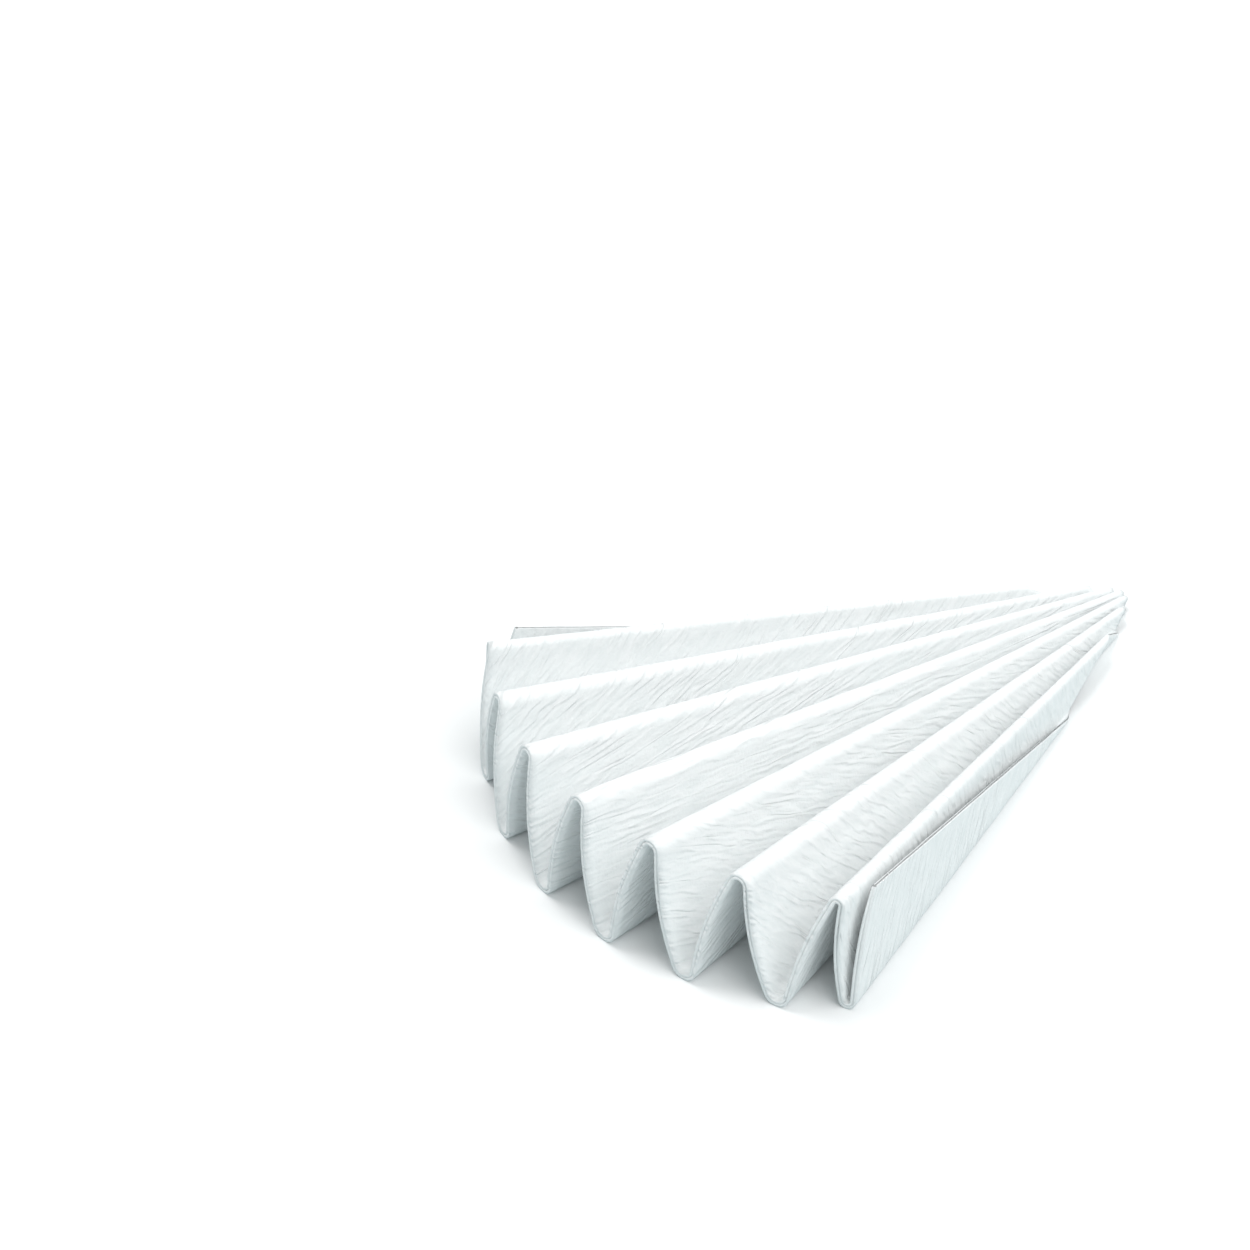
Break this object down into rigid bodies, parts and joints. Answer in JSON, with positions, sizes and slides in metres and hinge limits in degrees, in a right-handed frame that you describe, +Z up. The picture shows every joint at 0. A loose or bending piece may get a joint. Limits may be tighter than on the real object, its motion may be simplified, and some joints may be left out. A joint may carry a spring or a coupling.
{
  "type": "folded filter paper",
  "caption": "White creped filter paper, folded in half and pleated into a half-open fan that lies on its valleys.",
  "frame": {"origin": "middle of the rectangle that the fan covers, on the surface it lies on", "axes": "+X from the tip to the open rim, +Y across the pleats, +Z up"},
  "size_m": [0.0925, 0.064, 0.017],
  "materials": {
    "creped_paper": "matt creped filter paper"
  },
  "bodies": {
    "root": {"filter_paper": "creped_paper"}
  },
  "joints": []
}
